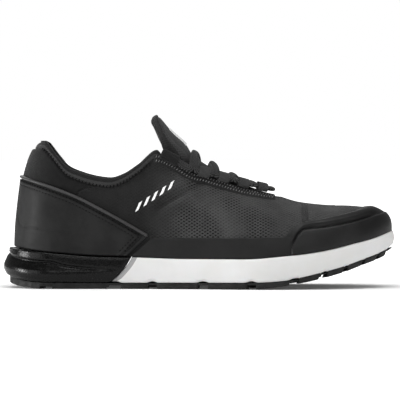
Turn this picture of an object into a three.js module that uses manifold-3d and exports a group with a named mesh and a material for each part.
// Right-foot spikeless golf shoe, EU 43, as an assembly of separate pieces.
// Millimetres, +X to the toe, +Z up, -Y the outer (lateral) side, +Y the inner (medial) side.
// Every surface follows two ideas:
//   the outline, a closed plan curve round the bottom of the upper, walked by the angle a,
//   the ribs, which rise from the outline at each a and end on the ridge over the instep, walked by t.
import * as THREE from "three";
import { mergeVertices } from "three/addons/utils/BufferGeometryUtils.js";
import Module from "manifold-3d";

const wasm = await Module();
wasm.setup();

// ---------------------------------------------------------------- driving dimensions
const HEEL_X = 7; // back of the upper where it meets the sole
const TOE_X = 297; // front of the upper where it meets the sole
const HEEL_HUB = 41; // centre that the heel's ribs fan round
const TOE_HUB = 250; // centre that the toe's ribs fan round
const HUB_BLEND = 6; // length over which the ribs turn from fan to parallel
const TOE_ROUND_X = 225; // where the plan outline starts to round in towards the toe
const TOE_ROUND_POWER = 2.1;
const SEAM_X = 62; // seam between the heel quarter and the vamp, near the collar
const THROAT_X = 212; // front end of the lace opening
const CLOSED_TOP = 0.93; // rib share where the vamp's two sides meet in front of the opening
const COLLAR_FRONT_X = 112; // front end of the collar
const COLLAR_ROLL = 7; // how far the padded collar stands above the outer fabric
const COLLAR_DEPTH = 36; // depth of the padding below the collar edge

const GAP = 0.4; // clearance between neighbouring pieces
const MESH = [-1.2, 0]; // each layer: inner and outer distance from the upper's surface
const OVERLAY = [0.5, 1.5];
const TOE_CAP = [2.1, 3.2];
const PIPING = [1.9, 3.1];
const LINING = [-4.4, -3.5];
const TOE_PUFF = [-3.0, -1.9];
const COUNTER = [-3.0, -1.6];
const FOAM_TOP = 7.0; // inner face of the collar padding at its thickest
const FOAM_EDGE = 3.0; // and where it tapers out

const CUT_TOP = [98, 24.5]; // slanted joint between heel cradle and midsole: x and z at its top
const CUT_BOTTOM = [81, 0]; // and at its foot
const CUT_GAP = 0.4;
const CRADLE_WALL = 5;
const SOLE_ENDS = [4.6, 299.4]; // ends of the sole's edge, which the bars below are measured along
const HEEL_WRAP_X = 28; // the bar round the back of the heel ends here on both sides
const HEEL_BARS = [[37, 79]]; // ends of the bars along each edge of the tread
const FORE_BARS = [
  [90, 111], [118, 149.5], [157.5, 187.3], [194.4, 219.6], [227.8, 243.2], [249.6, 261.6],
  [265, 275.8], [278.1, 287.1], [289.4, 294.6],
];

const LACE = { width: 4.6, thickness: 1.9, under: 0.7, over: 3.1 };
const LOOP = { inside: [3.9, 2.2], wall: 0.8, lift: 4.8 };
const LOOPS = [[127, 14], [153, 6], [167.5, 6], [182.8, 6], [197.4, 5.4]]; // middle and length
const CROSSINGS = [146, 160, 175.3, 189.9]; // where the lace crosses the middle between two loops
const LACE_BAR_X = 204.5; // the straight run across the foot of the lace opening
const EYESTAY = { backX: 118, frontX: 207, width: 8, layer: [0.8, 1.6] };
const TONGUE = { backX: 117, topHalf: 23, frontX: 222, tuck: 9, thickness: 6.4 };
const TONGUE_HINGE = [141, 105]; // x and z of the line the free top of the tongue folds about

// ---------------------------------------------------------------- curves
const lerp = THREE.MathUtils.lerp;
const clamp = THREE.MathUtils.clamp;
const smooth = (from, to, x) => THREE.MathUtils.smoothstep(x, from, to);

// A smooth curve through [x, value] knots that never overshoots them.
function curve(...knots) {
  const secant = (i) => (knots[i + 1][1] - knots[i][1]) / (knots[i + 1][0] - knots[i][0]);
  const last = knots.length - 1;
  const slopes = knots.map((_, i) => {
    if (i === 0) return secant(0);
    if (i === last) return secant(last - 1);
    const [before, after] = [secant(i - 1), secant(i)];
    return before * after <= 0 ? 0 : (2 * before * after) / (before + after);
  });
  return (x) => {
    const at = clamp(x, knots[0][0], knots[last][0]);
    let i = 0;
    while (i < last - 1 && at > knots[i + 1][0]) i++;
    const step = knots[i + 1][0] - knots[i][0];
    const s = (at - knots[i][0]) / step;
    const [s2, s3] = [s * s, s * s * s];
    return (
      knots[i][1] * (2 * s3 - 3 * s2 + 1) +
      slopes[i] * step * (s3 - 2 * s2 + s) +
      knots[i + 1][1] * (3 * s2 - 2 * s3) +
      slopes[i + 1] * step * (s3 - s2)
    );
  };
}

// Plan view: middle line and half width of the upper where it meets the sole.
const middle = curve([7, 0], [41, -0.5], [100, -3], [150, -4], [205, -1.5], [250, 2], [280, 5], [297, 7]);
const fullness = curve([7, 34], [41, 34.5], [100, 33], [150, 38], [205, 50], [235, 49.5], [297, 44]);
// Side view: top of the sole, ridge of the instep, how square the ribs are.
const soleTop = curve(
  [0, 31], [7, 30.5], [25, 28.3], [48, 26.2], [70, 24.6], [98, 23.9], [142, 22.7],
  [184, 22.7], [215, 25], [235, 27.3], [251, 30.1], [266, 33.7], [284, 38.1], [300, 43.6],
);
const ridge = curve(
  [7, 117], [24, 126], [41, 133], [80, 138], [106, 137], [118, 131.5], [130, 117.8], [143, 103],
  [153, 96.8], [168, 87.7], [184, 79.8], [198, 75], [212, 70], [227, 65.4], [240, 63.6], [252, 62.4],
);
const squareness = curve(
  [7, 2.6], [41, 3], [90, 2.7], [125, 2.15], [150, 1.9], [200, 1.9], [250, 2.2], [280, 2.7], [297, 3.3],
);
// Collar edge in side view, and the half gap of the lace opening in plan.
const collarEdge = curve(
  [7, 113], [30, 113.5], [36, 109], [42.4, 101.6], [49, 94], [55, 90.7], [73, 85.4], [82, 84.4],
  [92, 87.5], [104, 95.2], [112, 101.5], [124, 106.5],
);
const throatHalf = curve([104, 28], [112, 26.5], [143, 20.5], [180, 16], [200, 13], [209, 9], [212, 5.5]);
// Tread: underside and upper face of the outsole.
const treadFace = curve(
  [-2, 12], [4, 4.6], [10, 2.2], [20, 0.7], [32, 0], [190, 0], [205, 1.2], [219, 3.2], [241, 7.6],
  [260, 12.7], [274, 17.6], [286, 21.7], [302, 28.6],
);
const outsoleTop = curve(
  [-2, 15], [4, 9.4], [12, 6.6], [27, 4.6], [90, 4.2], [142, 4.4], [194, 4.9], [220, 6.8], [243, 11.6],
  [261, 16.3], [276, 21.4], [287, 25.2], [302, 31.6],
);

// ---------------------------------------------------------------- outline and ribs
const xAt = (a) => HEEL_X + ((TOE_X - HEEL_X) * (1 - Math.cos(a))) / 2;
const angleAt = (x) => Math.acos(1 - (2 * (x - HEEL_X)) / (TOE_X - HEEL_X));
const sideOf = (a) => (Math.sin(a) >= 0 ? -1 : 1);

function halfWidth(x) {
  const heel = clamp((HEEL_HUB - x) / (HEEL_HUB - HEEL_X), 0, 1);
  const toe = clamp((x - TOE_ROUND_X) / (TOE_X - TOE_ROUND_X), 0, 1);
  const roundHeel = Math.sqrt(Math.max(0, 1 - heel ** 2));
  const roundToe = Math.max(0, 1 - toe ** TOE_ROUND_POWER) ** (1 / TOE_ROUND_POWER);
  return fullness(x) * roundHeel * roundToe;
}

const outline = (a) => new THREE.Vector2(xAt(a), middle(xAt(a)) + sideOf(a) * halfWidth(xAt(a)));

// The outline moved outwards by a distance, in plan.
function outlineOffset(a, distance) {
  const step = 0.02;
  const along = outline(a + step).sub(outline(a - step)).normalize();
  return outline(a).add(new THREE.Vector2(along.y, -along.x).multiplyScalar(distance));
}

// x held between the two hubs, turning smoothly at each.
function hubX(x) {
  const bend = (v) => HUB_BLEND * Math.log1p(Math.exp(v / HUB_BLEND));
  return HEEL_HUB + bend(x - HEEL_HUB) - bend(x - TOE_HUB);
}

// How far the upper stands in from the outline round the back of the heel, as a share of the rib's
// reach, at outline position x and height share u.
const heelTuck = (x, u) => (1 - smooth(HEEL_X, HEEL_HUB - 3, x)) * lerp(0.07, 0.115, smooth(0, 0.5, u));

function ribAt(a) {
  const foot = outline(a);
  const hx = hubX(foot.x);
  return {
    foot,
    hub: new THREE.Vector2(hx, middle(hx)),
    base: soleTop(foot.x) + GAP,
    top: ridge(Math.min(foot.x, hx)),
    power: squareness(foot.x),
  };
}

function onRib(rib, t) {
  const [c, s] = [Math.cos((t * Math.PI) / 2), Math.sin((t * Math.PI) / 2)];
  const size = (Math.abs(c) ** rib.power + Math.abs(s) ** rib.power) ** (1 / rib.power);
  const reach = (c / size) * (1 - heelTuck(rib.foot.x, s / size));
  const plan = rib.hub.clone().lerp(rib.foot, reach);
  return new THREE.Vector3(plan.x, plan.y, lerp(rib.base, rib.top, s / size));
}

// A point of the upper at outline angle a and rib share t, moved outwards by a distance.
function upper(a, t, distance = 0) {
  const [da, dt] = [0.01, 0.01];
  const point = onRib(ribAt(a), t);
  const along = onRib(ribAt(a + da), t).sub(onRib(ribAt(a - da), t));
  const up = onRib(ribAt(a), Math.min(t + dt, 1)).sub(onRib(ribAt(a), t - dt));
  return point.add(along.cross(up).normalize().multiplyScalar(distance));
}

// Rib share at which the rib reaches a share of its height.
function shareAtHeight(rib, up) {
  const u = clamp(up, 0, 1);
  const out = (1 - u ** rib.power) ** (1 / rib.power);
  return Math.atan2(u, out) / (Math.PI / 2);
}

// Rib share at which the rib crosses a side-view curve z = edge(x).
function shareAtEdge(a, edge) {
  const rib = ribAt(a);
  let t = 0.5;
  for (let i = 0; i < 12; i++) {
    const z = edge(onRib(rib, t).x);
    t = lerp(t, shareAtHeight(rib, (z - rib.base) / (rib.top - rib.base)), 0.7);
  }
  return t;
}

// Rib share at which the rib comes within a half gap of the middle line.
function shareAtHalf(a, half) {
  const rib = ribAt(a);
  const out = clamp(half / Math.max(halfWidth(rib.foot.x), 1), 0, 1);
  return Math.atan2((1 - out ** rib.power) ** (1 / rib.power), out) / (Math.PI / 2);
}

// Top edge of the outer fabric: the collar at the back, then the lace opening.
function fabricTop(a) {
  const x = xAt(a);
  const collar = shareAtEdge(a, (at) => collarEdge(at) - COLLAR_ROLL);
  if (x < COLLAR_FRONT_X - 8) return collar;
  if (x > THROAT_X) return CLOSED_TOP;
  const throat = Math.min(shareAtHalf(a, throatHalf(x)), CLOSED_TOP);
  return lerp(collar, throat, smooth(COLLAR_FRONT_X - 8, COLLAR_FRONT_X + 6, x));
}

// Rib share a given distance below another, measured along the rib.
function below(a, t, distance) {
  const rib = ribAt(a);
  const step = 0.01;
  let [left, at] = [distance, t];
  while (left > 0 && at > step) {
    const length = onRib(rib, at).distanceTo(onRib(rib, at - step));
    at -= step * Math.min(1, left / length);
    left -= length;
  }
  return at;
}

// ---------------------------------------------------------------- solids
// A closed geometry from an outer sheet, its inner copy and the faces they share.
function thicken(outer, inner, faces) {
  const n = outer.length;
  const edges = new Set();
  const triangles = [];
  for (const [p, q, r] of faces) {
    triangles.push(p, q, r, r + n, q + n, p + n);
    [[p, q], [q, r], [r, p]].forEach((e) => edges.add(e.join()));
  }
  for (const key of edges) {
    const [p, q] = key.split(",").map(Number);
    if (!edges.has([q, p].join())) triangles.push(q, p, p + n, q, p + n, q + n);
  }
  return indexed([...outer, ...inner], triangles);
}

function indexed(points, triangles) {
  const flat = new Float32Array(points.flatMap((p) => [p.x, p.y, p.z]));
  return new THREE.BufferGeometry()
    .setAttribute("position", new THREE.BufferAttribute(flat, 3))
    .setIndex(triangles);
}

// Two triangles for a quad, without the ones that have lost a corner.
const quad = (p, q, r, s) => [[p, q, r], [p, r, s]].filter((f) => new Set(f).size === 3);

// A panel of the upper. at(u, v) gives [a, t]; layer(u, v) gives [inner, outer] distances.
function panel(columns, rows, at, layer) {
  const depth = typeof layer === "function" ? layer : () => layer;
  const [outer, inner, faces] = [[], [], []];
  for (let i = 0; i <= columns; i++) {
    for (let j = 0; j <= rows; j++) {
      const [u, v] = [i / columns, j / rows];
      const [a, t] = at(u, v);
      const [low, high] = depth(u, v, a, t);
      outer.push(upper(a, t, high));
      inner.push(upper(a, t, low));
    }
  }
  const id = (i, j) => i * (rows + 1) + j;
  for (let i = 0; i < columns; i++)
    for (let j = 0; j < rows; j++)
      faces.push(...quad(id(i, j), id(i + 1, j), id(i + 1, j + 1), id(i, j + 1)));
  return { outer, inner, faces, id, columns, rows };
}

// Joins a panel's two sides over the ridge, rung by rung, for the columns from first to the middle.
function bridge(sheet, first) {
  const { id, columns, rows, faces } = sheet;
  for (let i = first; i < columns / 2; i++) {
    const [m, n] = [columns - i, columns - i - 1];
    faces.push(...quad(id(i, rows), id(i + 1, rows), id(n, rows), id(m, rows)));
  }
  return sheet;
}

const solid = (sheet) => thicken(sheet.outer, sheet.inner, sheet.faces);

// A slab of the sole: ring(a) gives its wall from the bottom up as [offset, z] pairs.
function slab(ring, columns = 56) {
  const walls = Array.from({ length: columns }, (_, i) => {
    const a = (2 * Math.PI * i) / columns;
    return ring(a, xAt(a)).map(([offset, z]) => {
      const plan = outlineOffset(a, offset);
      return new THREE.Vector3(plan.x, plan.y, typeof z === "function" ? z(plan.x) : z);
    });
  });
  const height = walls[0].length;
  const id = (i, j) => (i % columns) * height + j;
  const faces = [];
  for (let i = 0; i < columns; i++)
    for (let j = 0; j < height - 1; j++)
      faces.push(...quad(id(i, j), id(i + 1, j), id(i + 1, j + 1), id(i, j + 1)));
  for (let i = 0; i < columns / 2; i++) {
    const [m, n] = [(columns - i) % columns, columns - i - 1];
    const top = height - 1;
    faces.push(...quad(id(i, top), id(i + 1, top), id(n, top), id(m, top)));
    faces.push(...quad(id(m, 0), id(n, 0), id(i + 1, 0), id(i, 0)));
  }
  return indexed(walls.flat(), faces.flat());
}

// An upright block with a plan outline and a top and bottom that follow the sole.
function block(plan, bottom, top) {
  const n = plan.length;
  const points = [bottom, top].flatMap((z) => plan.map(([x, y]) => new THREE.Vector3(x, y, z(x))));
  const triangles = [];
  for (let i = 0; i < n; i++) {
    const k = (i + 1) % n;
    triangles.push(i, k, k + n, i, k + n, i + n);
    if (i > 0 && i < n - 1) triangles.push(0, i + 1, i, n, n + i, n + i + 1);
  }
  return indexed(points, triangles);
}

// A closed body through rings of points, each ring counter-clockwise as seen looking forwards.
function loft(rings) {
  const [count, end] = [rings[0].length, rings.length - 1];
  const id = (i, j) => i * count + (j % count);
  const faces = [];
  for (let i = 0; i < end; i++)
    for (let j = 0; j < count; j++)
      faces.push(...quad(id(i, j), id(i + 1, j), id(i + 1, j + 1), id(i, j + 1)));
  for (let j = 1; j < count - 1; j++) {
    faces.push([id(0, 0), id(0, j), id(0, j + 1)]);
    faces.push([id(end, 0), id(end, j + 1), id(end, j)]);
  }
  return indexed(rings.flat(), faces.flat());
}

// A flat strip or oval cord along points, with its flat side facing each point's up direction.
function ribbon(points, ups, section) {
  const rings = points.map((point, i) => {
    const before = points[Math.max(i - 1, 0)];
    const after = points[Math.min(i + 1, points.length - 1)];
    const along = after.clone().sub(before).normalize();
    const across = along.clone().cross(ups[i]).normalize();
    const up = across.clone().cross(along);
    return section.map(([w, h]) => point.clone().addScaledVector(across, w).addScaledVector(up, h));
  });
  return loft(rings);
}

function toManifold(geometry) {
  const bare = new THREE.BufferGeometry()
    .setAttribute("position", geometry.getAttribute("position"))
    .setIndex(geometry.index);
  const merged = mergeVertices(bare, 1e-4);
  return new wasm.Manifold(
    new wasm.Mesh({
      numProp: 3,
      vertProperties: new Float32Array(merged.attributes.position.array),
      triVerts: new Uint32Array(merged.index.array),
    }),
  );
}

function fromManifold(shape) {
  const mesh = shape.getMesh();
  return new THREE.BufferGeometry()
    .setAttribute("position", new THREE.BufferAttribute(mesh.vertProperties, 3))
    .setIndex(new THREE.BufferAttribute(mesh.triVerts, 1));
}

const join = (geometries) =>
  fromManifold(geometries.map(toManifold).reduce((all, next) => all.add(next)));

// ---------------------------------------------------------------- assembly
const shoe = new THREE.Group();
const LOOKS = {
  mesh: { color: 0x2e2e30, roughness: 0.9 },
  fabric: { color: 0x29292b, roughness: 0.85 },
  overlay: { color: 0x2b2b2c, roughness: 0.5 },
  gloss: { color: 0x1a1a1a, roughness: 0.3 },
  rubber: { color: 0x202021, roughness: 0.6 },
  white: { color: 0xeeeeec, roughness: 0.55 },
  lining: { color: 0x242426, roughness: 0.95 },
  foam: { color: 0x4a4a4c, roughness: 0.9 },
  board: { color: 0xb9b3a4, roughness: 0.9 },
  plastic: { color: 0x3a3a3d, roughness: 0.5 },
  lace: { color: 0x3a3a3a, roughness: 0.85 },
  label: { color: 0xc9c9c8, roughness: 0.5 },
};

function add(name, geometry, look) {
  const made = geometry.index ? geometry.toNonIndexed() : geometry;
  made.computeVertexNormals();
  const mesh = new THREE.Mesh(made, new THREE.MeshStandardMaterial({ ...LOOKS[look], metalness: 0 }));
  mesh.name = name;
  shoe.add(mesh);
}

// ---------------------------------------------------------------- sole
// How strongly the heel swells at outline position x: full at the back, none at the slanted joint.
const heelSwell = (x) => 1 - smooth(10, 96, x);

function heelWall(a, x) {
  const [low, high, swell] = [outsoleTop(x) + GAP, soleTop(x), heelSwell(x)];
  const level = (share) => lerp(low, high, share);
  return [
    [2.6 + 3.2 * swell, (at) => outsoleTop(at) + GAP],
    [3.4 + 4.2 * swell, level(0.18)],
    [3.3 + 2.9 * swell, level(0.42)],
    [2.6 + 0.4 * swell, level(0.64)],
    [2.8 + 0.7 * swell, level(0.84)],
    [2.0, soleTop],
  ];
}

function midsoleWall(a, x) {
  const [low, high] = [outsoleTop(x) + GAP, soleTop(x)];
  const level = (share) => lerp(low, high, share);
  return [
    [2.2, (at) => outsoleTop(at) + GAP],
    [3.1, level(0.12)],
    [3.6, level(0.5)],
    [3.2, level(0.88)],
    [2.2, soleTop],
  ];
}

// Everything behind the slanted joint, moved along x.
function behindJoint(shift) {
  const [top, foot] = [CUT_TOP, CUT_BOTTOM];
  const slope = (top[0] - foot[0]) / (top[1] - foot[1]);
  const [low, high, reach, side] = [-20, 80, 60, 90];
  const at = (z) => foot[0] + slope * (z - foot[1]) + shift;
  const shape = new THREE.Shape([
    new THREE.Vector2(-reach, low),
    new THREE.Vector2(at(low), low),
    new THREE.Vector2(at(high), high),
    new THREE.Vector2(-reach, high),
  ]);
  const wedge = new THREE.ExtrudeGeometry(shape, { depth: 2 * side, bevelEnabled: false });
  wedge.rotateX(Math.PI / 2).translate(0, side, 0);
  wedge.deleteAttribute("normal");
  wedge.deleteAttribute("uv");
  return mergeVertices(wedge);
}

function buildSole() {
  const behind = toManifold(behindJoint(-CUT_GAP));
  const ahead = toManifold(behindJoint(0));
  const coreWall = (grow) => () => [
    [-CRADLE_WALL + grow, (x) => outsoleTop(x) + 5 - grow],
    [-CRADLE_WALL + grow, (x) => soleTop(x) + (grow ? 4 : 0)],
  ];
  const core = toManifold(slab(coreWall(0))).intersect(toManifold(behindJoint(-CUT_GAP - 4)));
  const pocket = toManifold(slab(coreWall(GAP))).intersect(toManifold(behindJoint(-CUT_GAP - 4 + GAP)));
  const cradle = toManifold(slab(heelWall, 64)).intersect(behind).subtract(pocket);
  add("heel_cradle", fromManifold(cradle), "gloss");
  add("heel_foam_core", fromManifold(core), "foam");

  const shank = (grow) =>
    block(
      [
        [106 - grow, -16 - grow],
        [170 + grow, -13 - grow],
        [170 + grow, 7 + grow],
        [106 - grow, 10 + grow],
      ],
      (x) => soleTop(x) - 1.8 - grow,
      (x) => soleTop(x) - 0.3 + (grow ? 6 : 0),
    );
  const midsole = toManifold(slab(midsoleWall, 64)).subtract(ahead).subtract(toManifold(shank(GAP)));
  add("midsole", fromManifold(midsole), "white");
  add("shank", shank(0), "plastic");

  const flat = (inset, low, high) => () =>
    [low, high].map((lift) => [-inset, (x) => soleTop(x) + lift]);
  add("strobel_board", slab(flat(6, GAP, 1.6), 40), "board");
  const cup = (x) => 8 - 8 * smooth(60, 150, x);
  add(
    "insole_foam",
    slab((a, x) => {
      const toe = 2.5 * smooth(255, 292, x) + 3.4 * (1 - smooth(HEEL_X, HEEL_HUB - 3, x));
      return [
        [-8.6 - toe, (at) => soleTop(at) + 2],
        [-7.4 - toe, soleTop(x) + 3.6],
        [-7.4 - toe, soleTop(x) + 4.6 + cup(x)],
        [-9 - toe, soleTop(x) + 5 + cup(x)],
        [-14 - toe, (at) => soleTop(at) + 5.6],
      ];
    }, 40),
    "foam",
  );
  add("insole_cover", slab(flat(20, 6, 6.9), 40), "lining");
}

// A bar along the edge of the sole between two outline angles, its ends slanted in plan.
function edgeLug(from, to) {
  const [outset, inset, lean] = [2.3, 13, 0.03];
  const turn = to > from ? -lean : lean;
  const count = Math.max(2, Math.ceil(Math.abs(to - from) / 0.09));
  const rings = Array.from({ length: count + 1 }, (_, i) => {
    const a = lerp(from, to, i / count);
    const [outer, inner] = [outlineOffset(a, outset), outlineOffset(a + turn, -inset)];
    const corners = [[outer, treadFace], [outer, lugTop], [inner, lugTop], [inner, treadFace]];
    return corners.map(([p, z]) => new THREE.Vector3(p.x, p.y, z(p.x)));
  });
  return loft(to > from ? rings : rings.reverse());
}

// A regular polygon in plan.
const disc = (x, y, radius, sides, turn = 0) =>
  Array.from({ length: sides }, (_, i) => {
    const angle = turn + (2 * Math.PI * i) / sides;
    return [x + radius * Math.cos(angle), y + radius * Math.sin(angle)];
  });

// Plan corners in counter-clockwise order.
function counterClockwise(plan) {
  const area = plan.reduce((sum, [x, y], i) => {
    const [nx, ny] = plan[(i + 1) % plan.length];
    return sum + x * ny - nx * y;
  }, 0);
  return area > 0 ? plan : [...plan].reverse();
}

const LUG_ROOT = 3.2; // thickness of the outsole sheet that the lugs stand on
const sheetLow = (x) => Math.max(outsoleTop(x) - LUG_ROOT, treadFace(x) + 1.2);
const lugTop = (x) => outsoleTop(x) - 0.6;
const lugBlock = (plan) => block(counterClockwise(plan), treadFace, lugTop);

// Outline angle, on the outer side, of a place along the whole length of the sole.
const soleAngle = (x) => angleAt(lerp(HEEL_X, TOE_X, (x - SOLE_ENDS[0]) / (SOLE_ENDS[1] - SOLE_ENDS[0])));

function outsoleLugs(fromX, toX, bars) {
  const lugs = bars.flatMap((ends) => {
    const [from, to] = ends.map(soleAngle);
    return [edgeLug(from, to), edgeLug(2 * Math.PI - to, 2 * Math.PI - from)];
  });
  for (let x = fromX + 14; x < toX - 16; x += 15.5) {
    const room = halfWidth(x) - 20;
    const across = Math.max(1, Math.floor((2 * room) / 15));
    for (let k = 0; k < across; k++) {
      const y = middle(x) + (across === 1 ? 0 : lerp(-room, room, (k + 0.5) / across));
      lugs.push(lugBlock(disc(x, y, 4.6, 6)));
    }
  }
  return lugs;
}

function buildOutsole() {
  const sheet = () => [[-2.5, sheetLow], [2.2, (at) => sheetLow(at) + 0.5], [2.4, outsoleTop]];
  const whole = toManifold(slab(sheet, 64));
  const lugsOf = (from, to, bars) => toManifold(join(outsoleLugs(from, to, bars)));
  const heelPad = toManifold(lugBlock(counterClockwise(disc(50, -0.5, 13, 12))));
  const wrap = soleAngle(HEEL_WRAP_X);
  const heelRim = toManifold(edgeLug(-wrap, wrap));
  const back = toManifold(behindJoint(-CUT_GAP));
  const heelLugs = lugsOf(10, 84, HEEL_BARS).add(heelPad).add(heelRim);
  const heel = whole.add(heelLugs).intersect(back);
  const limit = toManifold(behindJoint(6));
  const fore = whole.add(lugsOf(86, 296, FORE_BARS)).subtract(limit);
  const largest = (shape) => shape.decompose().sort((p, q) => q.volume() - p.volume())[0];
  add("outsole_heel", fromManifold(largest(heel)), "rubber");
  add("outsole_forefoot", fromManifold(largest(fore)), "rubber");
}

// ---------------------------------------------------------------- upper
const HEEL_PANEL_EDGE = curve([7, 88], [12.6, 86.5], [54, 72], [80, 59], [112, 41]);
const CHEVRON = { tip: [112, 41], foot: [95, 24] };
const MUDGUARD_EDGE = curve(
  [90, 38.5], [150, 38.5], [214, 39.5], [222, 46.5], [230, 50], [246, 52.6], [266, 57], [277, 60],
  [290, 62],
);
const TOE_CAP_EDGE = curve(
  [219, 29], [225, 40], [231, 44.5], [246, 46.2], [266, 49.8], [280, 53.4], [292, 57],
);

const onHeight = (a, height) => {
  const rib = ribAt(a);
  return shareAtHeight(rib, (height(rib.foot.x) - rib.base) / (rib.top - rib.base));
};
const low = (a, lift) => onHeight(a, (x) => soleTop(x) + GAP + lift);
// Outline angle that runs along one panel from one x on the outer side to the same x on the inner side.
const round = (fromX, u, towards) =>
  towards === "toe"
    ? lerp(angleAt(fromX), 2 * Math.PI - angleAt(fromX), u)
    : lerp(2 * Math.PI - angleAt(fromX), 2 * Math.PI + angleAt(fromX), u);

// The seam leans forward with height, so the panels' end columns lean too.
const seamX = curve([0, SEAM_X - 12], [0.6, SEAM_X - 8], [0.86, SEAM_X - 3], [1, SEAM_X + 12]);

function buildVamp() {
  const columns = 52;
  const place = (u, v) => {
    const start = angleAt(seamX(v) + GAP);
    const a = lerp(start, 2 * Math.PI - start, u);
    return [a, lerp(low(a, 0.2), fabricTop(a), v)];
  };
  const opens = (sheet) => {
    let first = 0;
    while (xAt(place(first / columns, 1)[0]) < THROAT_X) first++;
    return bridge(sheet, first);
  };
  add("vamp_mesh", solid(opens(panel(columns, 12, place, MESH))), "mesh");

  const lined = (u, v) => {
    const a = round(COLLAR_FRONT_X - 3, u, "toe");
    const top = fabricTop(a);
    return [a, lerp(low(a, 2.6), top, v)];
  };
  const lining = panel(columns, 6, lined, LINING);
  let first = 0;
  while (xAt(lined(first / columns, 1)[0]) < THROAT_X) first++;
  add("vamp_lining", solid(bridge(lining, first)), "lining");

  const puff = (u, v) => {
    const a = round(252, u, "toe");
    return [a, lerp(low(a, 2.6), onHeight(a, (x) => lerp(soleTop(x), ridge(TOE_HUB), 0.9)), v)];
  };
  add("toe_puff", solid(panel(20, 4, puff, TOE_PUFF)), "plastic");
}

function buildHeel() {
  const quarter = (u, v) => {
    const end = angleAt(seamX(v) - GAP);
    const a = 2 * Math.PI + lerp(-end, end, u);
    return [a, lerp(low(a, 0.2), fabricTop(a), v)];
  };
  add("heel_quarter", solid(panel(32, 12, quarter, MESH)), "fabric");

  const counter = (u, v) => {
    const a = round(72, u, "heel");
    const top = shareAtEdge(a, (x) => collarEdge(x) - COLLAR_DEPTH - 4);
    return [a, lerp(low(a, 2.6), top, v)];
  };
  add("heel_counter", solid(panel(24, 5, counter, COUNTER)), "plastic");

  const foamBack = (v) => -lerp(FOAM_EDGE, FOAM_TOP, smooth(0, 0.6, v));
  const foam = (u, v) => {
    const a = round(COLLAR_FRONT_X - 6, u, "heel");
    const [from, to] = [collarEdge, collarEdge].map((edge, k) =>
      shareAtEdge(a, (x) => edge(x) - (k ? 0.6 : COLLAR_DEPTH)));
    return [a, lerp(from, to, v)];
  };
  add("collar_foam", solid(panel(36, 5, foam, (u, v) => [foamBack(v), MESH[0] - 2 * GAP])), "foam");
  const lining = (u, v) => {
    const a = round(COLLAR_FRONT_X - 4, u, "heel");
    return [a, lerp(low(a, 2.6), shareAtEdge(a, (x) => collarEdge(x) - 0.6), v)];
  };
  const liningDepth = (u, v, a, t) => {
    const z = upper(a, t).z;
    const edge = collarEdge(upper(a, t).x);
    const share = smooth(edge - COLLAR_DEPTH - 4, edge - 0.4 * COLLAR_DEPTH, z);
    const out = -lerp(4.9, FOAM_TOP + 0.6, share);
    return [out - 0.9, out];
  };
  add("collar_lining", solid(panel(36, 8, lining, liningDepth)), "lining");
}

// The heel overlay ends in a chevron on each side: between its foot and its tip both edges close in.
function chevronLow(x) {
  const { tip, foot } = CHEVRON;
  return soleTop(x) + 0.8 + Math.max(0, ((x - foot[0]) / (tip[0] - foot[0])) * (tip[1] - foot[1] - 3));
}

function buildOverlays() {
  const heel = (u, v) => {
    const a = round(CHEVRON.tip[0] - 1.5, u, "heel");
    return [a, lerp(onHeight(a, chevronLow), shareAtEdge(a, HEEL_PANEL_EDGE), v)];
  };
  add("heel_panel", solid(panel(48, 6, heel, OVERLAY)), "overlay");
  const pipe = (u, v) => {
    const a = round(CHEVRON.tip[0] - 3, u, "heel");
    return [a, shareAtEdge(a, (x) => HEEL_PANEL_EDGE(x) - lerp(2.6, 0.6, v))];
  };
  add("heel_piping", solid(panel(48, 1, pipe, PIPING)), "overlay");

  const guard = (u, v) => {
    const a = round(CHEVRON.foot[0] + 3, u, "toe");
    const x = xAt(a);
    const behindTip = clamp((x - CHEVRON.foot[0] - 2) / (CHEVRON.tip[0] - CHEVRON.foot[0]), 0.12, 1);
    const edge = (at) => lerp(soleTop(at), MUDGUARD_EDGE(at), behindTip);
    return [a, lerp(low(a, 0.3), shareAtEdge(a, edge), v)];
  };
  add("mudguard", solid(panel(60, 4, guard, OVERLAY)), "overlay");
  const cap = (u, v) => {
    const a = round(220, u, "toe");
    return [a, lerp(low(a, 0.9), shareAtEdge(a, TOE_CAP_EDGE), v)];
  };
  add("toe_cap", solid(panel(36, 4, cap, TOE_CAP)), "overlay");
  for (const [name, side] of [["lateral", -1], ["medial", 1]]) {
    const stay = (u, v) => {
      const x = lerp(EYESTAY.backX, EYESTAY.frontX, side < 0 ? u : 1 - u);
      const a = side < 0 ? angleAt(x) : 2 * Math.PI - angleAt(x);
      const top = fabricTop(a);
      return [a, lerp(below(a, top, EYESTAY.width), below(a, top, 1), v)];
    };
    add("eyestay_" + name, solid(panel(24, 3, stay, EYESTAY.layer)), "fabric");
  }
}

// ---------------------------------------------------------------- tongue
const tongueSide = (x) => lerp(TONGUE.topHalf, throatHalf(x) + TONGUE.tuck, smooth(136, 158, x));
const crossing = (x, y) => {
  const a = y < 0 ? angleAt(x) : 2 * Math.PI - angleAt(x);
  return [a, shareAtHalf(a, Math.abs(y))];
};

// A patch that spans the ridge from side to side between two x stations: columns along x, rows across.
function acrossRidge(columns, rows, place, layer) {
  const [outer, inner, faces] = [[], [], []];
  for (let i = 0; i <= columns; i++) {
    for (let j = 0; j <= rows; j++) {
      const { x, y } = place(i / columns, lerp(-1, 1, j / rows));
      const [a, t] = crossing(x, y);
      const [back, front] = layer(x, y);
      outer.push(upper(a, Math.min(t, 0.999), front));
      inner.push(upper(a, Math.min(t, 0.999), back));
    }
  }
  const id = (i, j) => i * (rows + 1) + j;
  for (let i = 0; i < columns; i++)
    for (let j = 0; j < rows; j++)
      faces.push(...quad(id(i, j), id(i + 1, j), id(i + 1, j + 1), id(i, j + 1)));
  return thicken(outer, inner, faces);
}

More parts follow.
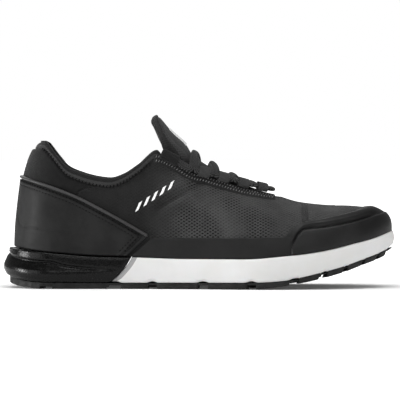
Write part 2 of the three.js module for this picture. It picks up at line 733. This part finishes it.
// Depth of the tongue's face: full in the opening, tucked under the lining at its edges and its root.
function tongueFace(x, y) {
  const edge = smooth(throatHalf(x) - 8, throatHalf(x) - 1.5, Math.abs(y)) * smooth(110, 124, x);
  const root = smooth(THROAT_X - 14, THROAT_X - 4, x);
  return -lerp(1.2, 5.8, Math.max(edge, root));
}

function buildTongue() {
  const hinge = TONGUE_HINGE[0];
  const cover = (x, y) => [tongueFace(x, y) - 1.0, tongueFace(x, y)];
  const foam = (x, y) => {
    const thin = smooth(0.6, 1, Math.abs(y) / tongueSide(x));
    return [tongueFace(x, y) - lerp(TONGUE.thickness, 3, thin), tongueFace(x, y) - 1.4];
  };
  const base = (u, w) => {
    const x = lerp(hinge + 1.8, TONGUE.frontX, u);
    return { x, y: w * tongueSide(x) };
  };
  const top = (u, w) => {
    const x = lerp(TONGUE.backX, hinge - 1.8, u);
    return { x, y: w * tongueSide(x) * lerp(0.8, 1, smooth(0, 0.3, u)) };
  };
  add("tongue_base_cover", acrossRidge(14, 8, base, cover), "mesh");
  add("tongue_base_foam", acrossRidge(14, 8, base, foam), "foam");
  add("tongue_top_cover", acrossRidge(6, 8, top, cover), "mesh");
  add("tongue_top_foam", acrossRidge(6, 8, top, foam), "foam");
  const label = (u, w) => ({ x: lerp(TONGUE.backX + 5, hinge - 4, u), y: w * 11 });
  add("tongue_label", acrossRidge(3, 4, label, () => [-0.8, 0.2]), "label");
}

// ---------------------------------------------------------------- laces
// A point over the lace opening, and the direction straight out of the upper there.
function over(x, y, lift) {
  const [a, t] = crossing(x, y);
  const share = Math.min(t, 0.999);
  const ground = upper(a, share, 0);
  return { point: upper(a, share, lift), up: upper(a, share, 1).sub(ground) };
}

// One strand from the loop at the front to the tail: stations of [x, share of the half gap, lift].
function laceStrand(firstSide, centreLift) {
  const [frontX, frontLength] = LOOPS.at(-1);
  const stations = [[frontX + frontLength / 2 + 0.9, firstSide, LOOP.lift]];
  let side = firstSide;
  for (let k = LOOPS.length - 1; k > 0; k--) {
    const [[x, length], [nextX, nextLength]] = [LOOPS[k], LOOPS[k - 1]];
    const [leave, arrive, cross] = [x - length / 2, nextX + nextLength / 2, CROSSINGS[k - 1]];
    const shoulder = lerp(centreLift, LOOP.lift, 0.4);
    stations.push([x, side, LOOP.lift], [leave - 0.9, side, LOOP.lift]);
    stations.push([cross + 1.7, side * 0.6, shoulder], [cross, 0, centreLift]);
    stations.push([cross - 1.7, -side * 0.6, shoulder]);
    stations.push([Math.max(arrive + 0.9, cross - 4), -side, LOOP.lift]);
    side = -side;
  }
  const [x, length] = LOOPS[0];
  stations.push([x + length / 2, side, LOOP.lift], [x - length / 2 + 2, side, LOOP.lift]);
  return stations;
}

function buildLaces() {
  const bar = [[LACE_BAR_X - 1, -0.75, 3.6], [LACE_BAR_X, 0, 2.2], [LACE_BAR_X - 1, 0.75, 3.6]];
  const route = [...laceStrand(-1, LACE.over).reverse(), ...bar, ...laceStrand(1, LACE.under)];
  const stations = route.map(([x, share, lift]) => over(x, share * throatHalf(x), lift));
  const path = new THREE.CatmullRomCurve3(stations.map((s) => s.point), false, "centripetal");
  const turns = new THREE.CatmullRomCurve3(stations.map((s) => s.up), false, "centripetal");
  const steps = 2 * (stations.length - 1);
  const at = (source) => Array.from({ length: steps + 1 }, (_, i) => source.getPoint(i / steps));
  const section = Array.from({ length: 6 }, (_, i) => {
    const angle = (2 * Math.PI * (i + 0.5)) / 6;
    return [(LACE.width / 2) * Math.cos(angle), (LACE.thickness / 2) * Math.sin(angle)];
  });
  add("lace", ribbon(at(path), at(turns), section), "lace");
  for (const [name, side] of [["lateral", -1], ["medial", 1]])
    LOOPS.forEach(([x, length], k) =>
      add("lace_loop_" + name + "_" + (k + 1), laceLoop(side, x, length), "lace"));
}

// A band of webbing round the lace, its hole along the lace.
function laceLoop(side, x, length) {
  const { point, up } = over(x, side * throatHalf(x), LOOP.lift);
  const ends = [-2, 2].map((d) => over(x + d, side * throatHalf(x + d), LOOP.lift).point);
  const along = ends[1].sub(ends[0]).normalize();
  const across = up.clone().cross(along).normalize();
  const frame = new THREE.Matrix4().makeBasis(across, along.clone().cross(across), along);
  const [w, h] = LOOP.inside;
  const ring = new THREE.Shape().absellipse(0, 0, w + LOOP.wall, h + LOOP.wall, 0, 2 * Math.PI);
  ring.holes.push(new THREE.Path().absellipse(0, 0, w, h, 0, 2 * Math.PI));
  const band = new THREE.ExtrudeGeometry(ring, { depth: length, bevelEnabled: false, curveSegments: 6 });
  return band.translate(0, 0, -length / 2).applyMatrix4(frame).translate(point.x, point.y, point.z);
}

buildSole();
buildOutsole();
buildVamp();
buildHeel();
buildOverlays();
buildTongue();
buildLaces();

// The frame's origin is the middle of the footprint, on the ground.
const box = new THREE.Box3().setFromObject(shoe);
shoe.position.set(-(box.min.x + box.max.x) / 2, -(box.min.y + box.max.y) / 2, -box.min.z);

export default shoe;
